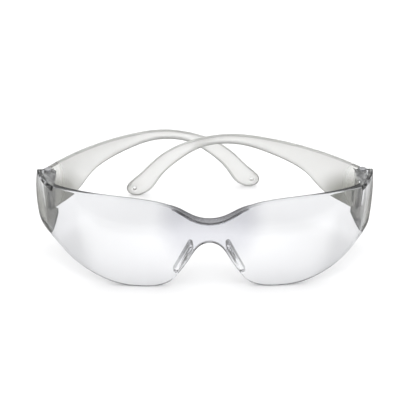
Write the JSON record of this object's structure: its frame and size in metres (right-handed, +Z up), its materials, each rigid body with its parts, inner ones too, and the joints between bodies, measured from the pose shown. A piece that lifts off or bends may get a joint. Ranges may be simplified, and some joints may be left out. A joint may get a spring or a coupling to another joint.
{
  "type": "safety glasses",
  "caption": "Frameless wraparound safety glasses: one clear lens with moulded nose pads and two frosted temples that fold on hinge pins.",
  "frame": {"origin": "middle of the footprint, on the surface the glasses lie on, temples half folded", "axes": "+X across the face towards the wearer's left, +Y back from the lens towards the temple tips, +Z up. Left and right in the names are as seen from in front of the lens, so left_temple is at -X and goes over the wearer's right ear"},
  "size_m": [0.15, 0.1042, 0.0387],
  "materials": {
    "clear_lens": "polished clear polycarbonate",
    "frosted_temple": "translucent grey polycarbonate, lightly frosted",
    "pin_steel": "plain drawn steel"
  },
  "bodies": {
    "lens": {"lens": "clear_lens", "left_hinge_pin": "pin_steel", "right_hinge_pin": "pin_steel"},
    "left_temple": {"left_temple": "frosted_temple"},
    "right_temple": {"right_temple": "frosted_temple"}
  },
  "joints": [
    {"name": "left_hinge", "type": "hinge", "parent": "lens", "child": "left_temple", "pos_m": [-0.0695, -0.00958, 0.025], "axis": [0, 0, 1], "range_deg": [-22, 47]},
    {"name": "right_hinge", "type": "hinge", "parent": "lens", "child": "right_temple", "pos_m": [0.0695, -0.00958, 0.025], "axis": [0, 0, -1], "range_deg": [-22, 47]}
  ],
  "couplings": [
    {"joint": "right_hinge", "follows": "left_hinge", "ratio": 1}
  ]
}
